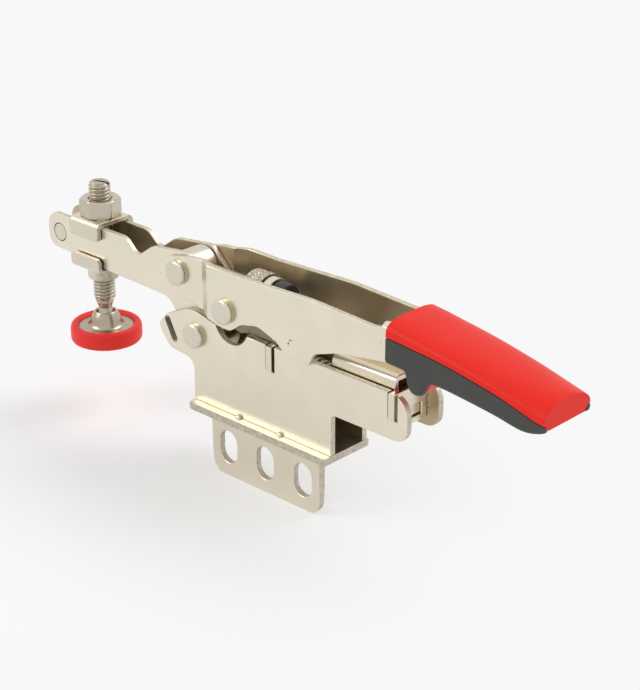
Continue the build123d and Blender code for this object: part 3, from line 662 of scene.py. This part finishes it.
screw_low, screw_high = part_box("adjusting_screw")
screw_z = (screw_low.z + screw_high.z) / 2
screw_length = (screw_high.x - screw_low.x) * 1000
head_length, head_gap = 0.0058, 0.0003
head_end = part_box("screw_collar")[0].x - head_gap
head_finish = plated("nickel_knurl", (0.50, 0.44, 0.345), roughness=0.33)


def joined(name, meshes):
    """Several meshes in one, each a closed shell of its own."""
    shape = bmesh.new()
    for mesh in meshes:
        shape.from_mesh(mesh)
    return made_mesh(name, shape)


def stood_along_x(mesh, start, z):
    """A mesh turned about Z is laid on the X axis from start, at height z."""
    for corner in mesh.vertices:
        x, y, along = corner.co
        corner.co = (start + along, y, z - x)
    mesh.update()


knob = worked("knob", knurl_tool, {"Radius": (screw_high.z - screw_low.z) / 2, "Depth": 0.00035,
                                   "Length": head_length, "Chamfer": 0.0005, "Ridges": 30.0,
                                   "Finish": head_finish})
stood_along_x(knob.data, head_end - head_length, screw_z)
shank = turned("shank", [(0, 0), (1.6, 0), (2.0, 0.4), (2.0, screw_length - 0.4), (1.6, screw_length),
                         (0, screw_length)], 32)
stood_along_x(shank, screw_low.x, screw_z)
screw = new_object("finger_screw", joined("finger_screw", [knob.data, shank]))
bpy.data.objects.remove(knob)
finished(shaded(screw, 35), head_finish, "adjuster", ["adjusting_screw"])
collar = eased("screw_collar", "steel_collar")
finished(collar, rivet_finish, "adjuster", ["screw_collar"])

rubber = bpy.data.materials.new("black_rubber")
rubber.use_nodes = True
tree = rubber.node_tree
place = add_node(tree, "ShaderNodeTexCoord").outputs["Object"]
bloom = add_node(tree, "ShaderNodeTexNoise", {"Vector": place, "Scale": 500.0, "Detail": 4.0})
tone = mixed(tree, bloom.outputs["Fac"], (0.012, 0.012, 0.013, 1), (0.035, 0.034, 0.033, 1))
dent = add_node(tree, "ShaderNodeBump", {"Height": bloom.outputs["Fac"], "Strength": 0.2,
                                         "Distance": grain_height})
shader = tree.nodes["Principled BSDF"]
tree.links.new(tone, shader.inputs["Base Color"])
tree.links.new(dent.outputs["Normal"], shader.inputs["Normal"])
shader.inputs["Roughness"].default_value = 0.5
buffer_ease = 0.0005
soft_buffer = eased("screw_buffer", "soft_buffer", buffer_ease, 3)
finished(soft_buffer, rubber, "adjuster", ["screw_buffer"])

# Saddles: two U-shaped stampings that clasp the arm from above and below. The lower one has a
# drawn collar, and the nut pulls both together on the spindle.
saddle_finish = plated("nickel_saddle", (0.72, 0.655, 0.535), roughness=0.24, sheared="X", ends=True)
saddle_bend, saddle_corner, bend_slack = 1.9, 1.4, 0.3
end_ease, end_thinning = (0.12, 0.35, 0.7, 1.05), (0.12, 0.03)
bend_steps = 8


def folded(name, node, web, rim, thick):
    """A U-shaped clip along X, with its web at height web and its two flanges reaching to rim."""
    low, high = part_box(node)
    half, middle = high.y * 1000, (low.x + high.x) * 500
    length = (high.x - low.x) * 500
    way = 1 if rim > web else -1
    along = [-length + d for d in (0, *end_ease, saddle_corner)]
    along += [0.0] + [-x for x in reversed(along)]
    shape = bmesh.new()
    rings = []
    for x in along:
        near = length - abs(x)
        lift = saddle_corner - math.sqrt(max(0, saddle_corner ** 2 - max(0, saddle_corner - near) ** 2))
        thin = end_thinning[0] if near < 0.01 else (end_thinning[1] if near < 0.13 else 0)
        tip = rim - way * (lift + thin)
        outer = [(half - thin, tip)]
        for i in range(bend_steps + 1):
            angle = i * math.pi / (2 * bend_steps)
            outer.append((half - thin - saddle_bend * (1 - math.cos(angle)),
                          web + way * (thin + saddle_bend * (1 - math.sin(angle)))))
        inner = []
        inside_bend = saddle_bend - thick + bend_slack
        for i in range(bend_steps, -1, -1):
            angle = i * math.pi / (2 * bend_steps)
            inner.append((half - thick + thin - inside_bend * (1 - math.cos(angle)),
                          web + way * (thick - thin + inside_bend * (1 - math.sin(angle)))))
        inner.append((half - thick + thin, tip))
        profile = (outer + [(-y, z) for y, z in reversed(outer)]
                   + [(-y, z) for y, z in reversed(inner)] + inner)
        rings.append([shape.verts.new(((middle + x) / 1000, y / 1000, z / 1000)) for y, z in profile])
    count = len(rings[0])
    for near_ring, far_ring in zip(rings, rings[1:]):
        for i in range(count):
            shape.faces.new((near_ring[i - 1], near_ring[i], far_ring[i], far_ring[i - 1]))
    half_count = count // 2
    for ring in (rings[0], rings[-1]):
        for i in range(half_count - 1):
            shape.faces.new((ring[i], ring[i + 1], ring[count - 2 - i], ring[count - 1 - i]))
    bmesh.ops.recalc_face_normals(shape, faces=shape.faces)
    return made_mesh(name, shape)


upper_t, lower_t = 1.4, 1.15
upper_low, upper_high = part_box("upper_saddle")
upper = new_object("saddle_top", folded("saddle_top", "upper_saddle", upper_high.z * 1000,
                                        upper_low.z * 1000, upper_t))
finished(shaded(upper, 40), saddle_finish, "carriage", ["upper_saddle"])
lower_low, lower_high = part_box("lower_saddle")
collar_h, collar_out, collar_bore = 3.4, 4.3, 3.05
lower_web = lower_low.z * 1000 + collar_h
lower_rim = lower_high.z * 1000 - 0.5
lower_end = lower_web - collar_h
clip = folded("saddle_bottom", "lower_saddle", lower_web, lower_rim, lower_t)
neck_ring = turned("drawn_collar", [
    (collar_bore, lower_web + 0.3), (collar_out + 0.5, lower_web + 0.3), (collar_out + 0.45, lower_web),
    (collar_out + 0.1, lower_web - 0.35), (collar_out, lower_web - 0.9), (collar_out, lower_end + 0.6),
    (collar_out - 0.2, lower_end + 0.15), (collar_out - 0.6, lower_end), (collar_bore, lower_end),
    (collar_bore, lower_web + 0.3)], 64)


def shifted(mesh, x):
    """A mesh moved along X."""
    for corner in mesh.vertices:
        corner.co.x += x
    return mesh


shifted(neck_ring, (lower_low.x + lower_high.x) / 2)
lower = new_object("saddle_bottom", joined("saddle_bottom", [clip, neck_ring]))
finished(shaded(lower, 40), saddle_finish, "carriage", ["lower_saddle"])

# Nut: a plated hexagon nut, chamfered on both faces and duller than the sheet round it. It
# stands a hair above the upper saddle, so that the two faces don't meet.
nut_finish = plated("nickel_nut", (0.58, 0.52, 0.42), roughness=0.25)
nut_low, nut_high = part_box("spindle_nut")
nut_height = (nut_high.z - nut_low.z) * 1000
nut_flat, nut_bore, nut_turn = 5.0, 3.15, math.radians(22.5)
nut_steps, nut_seat, corner_share = 144, 0.03, 1.142
face_r, bevel_r, widest_r, mouth_r = 5.05, 5.5, 6.2, nut_bore + 0.35
nut_shape = bmesh.new()
nut_rings = []
for radius_limit, height in (
        (face_r, nut_seat), (bevel_r, 0.26), (widest_r, 0.66), (widest_r, nut_height - 0.66),
        (bevel_r, nut_height - 0.26), (face_r, nut_height), (mouth_r, nut_height),
        (nut_bore, nut_height - 0.4), (nut_bore, 0.4), (mouth_r, nut_seat)):
    ring = []
    for i in range(nut_steps):
        angle = math.tau * i / nut_steps
        away = abs((math.degrees(angle) + 30) % 60 - 30)
        flat = min(nut_flat / math.cos(math.radians(away)), nut_flat * corner_share)
        radius = min(flat, radius_limit)
        ring.append(nut_shape.verts.new((radius * math.cos(angle + nut_turn) / 1000,
                                         radius * math.sin(angle + nut_turn) / 1000,
                                         nut_low.z + height / 1000)))
    nut_rings.append(ring)
for low, high in zip(nut_rings, nut_rings[1:] + nut_rings[:1]):
    for i in range(nut_steps):
        nut_shape.faces.new((low[i], low[i - 1], high[i - 1], high[i]))
bmesh.ops.recalc_face_normals(nut_shape, faces=nut_shape.faces)
nut_mesh = shifted(made_mesh("hex_nut", nut_shape), (nut_low.x + nut_high.x) / 2)
finished(shaded(new_object("hex_nut", nut_mesh), 20), nut_finish, "nut", ["spindle_nut"])

# Spindle: a rolled M6 thread on a plain stud, with a screwdriver slot in its top and a ball at
# its foot. The rolling leaves round crests and a tapered run-out.
pitch = 0.001
crest_r, root_r = 0.003, 0.00243
spindle_low, spindle_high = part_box("spindle")
stud_x = (spindle_low.x + spindle_high.x) / 2
thread_low = 0.0160

thread_tool, given, result = node_tool(
    "rolled_thread", ("Pitch", "NodeSocketFloat"), ("Crest Radius", "NodeSocketFloat"),
    ("Root Radius", "NodeSocketFloat"), ("Low", "NodeSocketFloat"), ("High", "NodeSocketFloat"),
    ("Finish", "NodeSocketMaterial"))
screwed = functools.partial(maths, thread_tool)
grid, turn, run = unrolled(thread_tool, 49, 420)
span = screwed("SUBTRACT", given.outputs["High"], given.outputs["Low"])
height = screwed("MULTIPLY_ADD", run, span, given.outputs["Low"])
turns = screwed("DIVIDE", height, given.outputs["Pitch"])
phase = screwed("FRACT", screwed("SUBTRACT", turns, turn))
slope = screwed("ABSOLUTE", screwed("MULTIPLY_ADD", phase, 2.0, -1.0))
crest = add_node(thread_tool, "ShaderNodeMapRange", {"Value": slope, "From Min": 0.12, "From Max": 0.84},
                 interpolation_type="SMOOTHSTEP").outputs[0]
depth = screwed("SUBTRACT", given.outputs["Crest Radius"], given.outputs["Root Radius"])
full = screwed("MULTIPLY_ADD", crest, depth, given.outputs["Root Radius"])
below_top = screwed("SUBTRACT", given.outputs["High"], height)
top_cone = screwed("ADD", given.outputs["Root Radius"], below_top)
above_low = screwed("SUBTRACT", height, given.outputs["Low"])
run_out = screwed("ADD", given.outputs["Root Radius"], screwed("MULTIPLY", 0.5, above_low))
rounded = screwed("MINIMUM", screwed("MINIMUM", full, top_cone), run_out)
rolled_grid = rolled(thread_tool, grid, turn, rounded, height, run)
last_steps(thread_tool, rolled_grid.outputs[0], given.outputs["Finish"], result)

stud_finish = plated("nickel_stud", (0.52, 0.465, 0.375), roughness=0.27)
thread = worked("thread", thread_tool, {"Pitch": pitch, "Crest Radius": crest_r, "Root Radius": root_r,
                                        "Low": thread_low, "High": spindle_high.z, "Finish": stud_finish})
ball_r, ball_z, ball_steps, ball_sweep = 2.5, 11.4, 12, math.radians(126)
neck = [(0, ball_z - ball_r)]
for step in range(1, ball_steps + 1):
    angle = -math.pi / 2 + step * ball_sweep / ball_steps
    neck.append((ball_r * math.cos(angle), ball_z + ball_r * math.sin(angle)))
neck += [(1.75, 13.9), (1.85, 14.3), (2.35, 15.4), (2.45, 16.0), (2.42, 16.4), (0, 16.5)]
neck_mesh = turned("neck", neck, 48)
stud = new_object("threaded_stud", joined("threaded_stud", [thread.data, neck_mesh]))
bpy.data.objects.remove(thread)
slot_half, slot_depth, slot_reach, slot_turn = 0.0005, 0.0012, 0.01, math.radians(20)
cutter_shape = bmesh.new()
bmesh.ops.create_cube(cutter_shape, size=1.0)
for corner in cutter_shape.verts:
    x, y, z = corner.co
    x, y = x * slot_reach, y * 2 * slot_half
    corner.co = (x * math.cos(slot_turn) - y * math.sin(slot_turn),
                 x * math.sin(slot_turn) + y * math.cos(slot_turn), spindle_high.z + z * 2 * slot_depth)
cutter = new_object("slot_cutter", made_mesh("slot_cutter", cutter_shape))
cut = stud.modifiers.new("slot", "BOOLEAN")
cut.object = cutter
cut.solver = "EXACT"
settled(stud)
bpy.data.objects.remove(cutter)
shifted(stud.data, stud_x)
finished(shaded(stud, 50), stud_finish, "stem", ["spindle"])

# Foot: a pressed steel cup that holds the ball, its skirt flared into a dish, and a moulded
# red cap snapped over the rim of the dish so that the work isn't marked.
foot_finish = plated("nickel_foot", (0.45, 0.385, 0.30), roughness=0.25)
cup = new_object("pressed_foot", turned("pressed_foot", [
    (0, 7.5), (7.9, 7.5), (8.0, 7.7), (8.0, 8.4), (7.85, 8.58), (7.2, 8.6), (5.9, 8.6), (5.4, 8.65),
    (5.05, 8.8), (4.75, 9.1), (4.5, 9.5), (4.32, 10.0), (4.2, 10.5), (4.02, 11.1), (3.75, 11.7),
    (3.45, 12.2), (3.2, 12.6), (3.05, 12.85), (2.9, 12.95), (2.7, 12.9), (2.58, 12.7), (2.52, 12.3),
    (2.5, 11.7), (2.52, 11.2), (0, 11.1)], 96))
pad = new_object("red_cap", turned("red_cap", [
    (0, 4.2), (8.4, 4.2), (9.1, 4.3), (9.6, 4.55), (9.87, 4.95), (9.98, 5.5), (10.0, 6.2), (9.98, 7.9),
    (9.88, 8.5), (9.65, 9.0), (9.3, 9.3), (8.9, 9.4), (8.5, 9.35), (8.1, 9.2), (7.8, 9.0), (7.6, 8.75),
    (7.52, 8.5), (7.5, 8.3), (7.5, 7.6), (0, 7.55)], 96))
for piece in (cup, pad):
    shifted(piece.data, stud_x)
    shaded(piece, 60)
finished(cup, foot_finish, "foot", ["foot_cup"])


def moulded(name, low, high, roughness, grain=0.1):
    """Moulded plastic, with a faint cloudiness and the tool's fine texture."""
    finish = bpy.data.materials.new(name)
    finish.use_nodes = True
    tree = finish.node_tree
    shader = tree.nodes["Principled BSDF"]
    shader.inputs["Specular IOR Level"].default_value = 0.2
    place = add_node(tree, "ShaderNodeTexCoord").outputs["Object"]
    clouds = add_node(tree, "ShaderNodeTexNoise", {"Vector": place, "Scale": 70.0, "Detail": 3.0})
    fine = add_node(tree, "ShaderNodeTexNoise", {"Vector": place, "Scale": 2200.0, "Detail": 3.0})
    tone = mixed(tree, clouds.outputs["Fac"], (*low, 1), (*high, 1))
    rough = add_node(tree, "ShaderNodeMapRange", {"Value": fine.outputs["Fac"], "To Min": roughness - 0.06,
                                                  "To Max": roughness + 0.06})
    bump = add_node(tree, "ShaderNodeBump", {"Height": fine.outputs["Fac"], "Strength": grain,
                                             "Distance": 0.00004})
    tree.links.new(tone, shader.inputs["Base Color"])
    tree.links.new(rough.outputs[0], shader.inputs["Roughness"])
    tree.links.new(bump.outputs["Normal"], shader.inputs["Normal"])
    return finish


pad_finish = moulded("red_cap_plastic", (0.86, 0.032, 0.026), (0.92, 0.042, 0.034), 0.42)
finished(pad, pad_finish, "foot", ["foot_pad"])

# Grip: a hard red moulding over the handle's tail, vaulted on top, with a soft grey inlay let
# into each side below a fine lip. The inlays run round a finger hook near the front.
grip_front, grip_end = 40.4, 86.0
crown_points = [(40.4, 45.0), (46, 44.25), (52, 43.35), (57.5, 42.6), (63, 41.75), (74, 39.75),
                (80, 38.75), (84.6, 38.0), (86, 37.6)]
parting_points = [(40.4, 41.0), (44.9, 40.8), (48.6, 40.4), (52.2, 40.1), (59.3, 39.2), (66.3, 37.95),
                  (73.2, 36.55), (80, 34.65), (83.3, 33.65), (86, 33.1)]
under_points = [(40.4, 34.1), (43, 34.0), (45.6, 33.85), (46.6, 33.3), (47.0, 31.9), (47.4, 30.2),
                (48.3, 29.0), (49.6, 28.7), (50.9, 29.1), (51.8, 30.3), (52.6, 31.8), (53.6, 32.7),
                (55, 32.95), (59, 32.7), (66, 31.9), (72.8, 30.95), (78, 29.95), (80.3, 29.75),
                (82.6, 30.0), (84.6, 30.6), (86, 31.4)]
width_points = [(40.4, 9.35), (44, 9.5), (60, 9.3), (74, 9.1), (83, 8.9), (86, 8.7)]


def through(points, x):
    """The height at x of a smooth line through points."""
    if x <= points[0][0]:
        return points[0][1]
    for i in range(len(points) - 1):
        (x0, z0), (x1, z1) = points[i], points[i + 1]
        if x <= x1:
            before = points[i - 1] if i else points[i]
            after = points[i + 2] if i + 2 < len(points) else points[i + 1]
            slope0 = (z1 - before[1]) / (x1 - before[0])
            slope1 = (after[1] - z0) / (after[0] - x0)
            t, step = (x - x0) / (x1 - x0), x1 - x0
            return ((2 * t ** 3 - 3 * t ** 2 + 1) * z0 + (t ** 3 - 2 * t ** 2 + t) * slope0 * step
                    + (3 * t ** 2 - 2 * t ** 3) * z1 + (t ** 3 - t ** 2) * slope1 * step)
    return points[-1][1]


slices = 96
stations = [grip_front + (grip_end - grip_front) * i / slices for i in range(slices + 1)]


def lofted(name, section):
    """A closed piece through the sections at the stations, each a ring of y and z."""
    shape = bmesh.new()
    rings = [[shape.verts.new((x / 1000, y / 1000, z / 1000)) for y, z in section(x)] for x in stations]
    count = len(rings[0])
    for near, far in zip(rings, rings[1:]):
        for i in range(count):
            j = (i + 1) % count
            shape.faces.new((near[i], near[j], far[j], far[i]))
    shape.faces.new(rings[0][::-1])
    shape.faces.new(rings[-1])
    bmesh.ops.recalc_face_normals(shape, faces=shape.faces)
    return new_object(name, made_mesh(name, shape))


inlay_t = 0.7
vault_steps, inlay_steps = 18, 6


def core_section(x):
    """The hard moulding's outline at x: sunk where the inlay lies, then a lip and the vault."""
    crown, parting, under = (through(p, x) for p in (crown_points, parting_points, under_points))
    width = through(width_points, x)
    share = (x - grip_front) / (grip_end - grip_front)
    lip = 0.9 - 0.5 * share
    power = 0.68 + 0.32 * share ** 0.6
    sunk = width - inlay_t
    half = [(0, under + 0.15), (sunk - 1.6, under + 0.15), (sunk - 1.4, under + 0.4),
            (sunk - 0.4, under + 1.2), (sunk, under + 1.9), (sunk, parting - 0.05),
            (width - 0.25, parting), (width - 0.05, parting + 0.1), (width, parting + 0.25),
            (width - 0.02, parting + lip - 0.1), (width - 0.08, parting + lip)]
    for i in range(1, vault_steps + 1):
        angle = i * math.pi / (2 * vault_steps)
        half.append(((width - 0.1) * math.cos(angle) ** power,
                     parting + lip + (crown - parting - lip) * math.sin(angle) ** power))
    half[-1] = (0, crown)
    return half + [(-y, z) for y, z in half[-2:0:-1]]


def inlay_section(x):
    """The inlay's outline at x, from the lip down the side and round the lower edge."""
    parting, under = through(parting_points, x), through(under_points, x)
    width = through(width_points, x)
    gap = min(0.12, (parting - under) * 0.1)
    tall = max(0.6, parting - under - gap)
    turn = min(1.5, tall * 0.5)
    ring = [(width - inlay_t, parting - gap - 0.12), (width - 0.3, parting - gap - 0.06),
            (width - 0.08, parting - gap - 0.15), (width - 0.02, parting - gap - 0.4)]
    for i in range(inlay_steps + 1):
        angle = i * math.pi / (2 * inlay_steps)
        ring.append((width - turn + turn * math.cos(angle), under + turn - turn * math.sin(angle)))
    ring += [(width - turn - 0.5, under + 0.05), (width - turn - 0.55, under + 0.35)]
    ring.append((width - inlay_t - 0.35, under + turn + 0.2))
    return ring


core = lofted("grip_body", core_section)
grip_finish = moulded("red_plastic", (0.84, 0.020, 0.010), (0.90, 0.026, 0.013), 0.38, 0.08)
finished(shaded(core, 30), grip_finish, "handle", ["grip_core"])
inlay_finish = moulded("grey_rubber", (0.066, 0.068, 0.062), (0.078, 0.08, 0.074), 0.55, 0.2)
for name, node, side in (("grip_side_right", "grip_inlay_right", 1),
                         ("grip_side_left", "grip_inlay_left", -1)):
    inlay = lofted(name, lambda x: [(side * y, z) for y, z in inlay_section(x)])
    finished(shaded(inlay, 35), inlay_finish, "handle", [node])
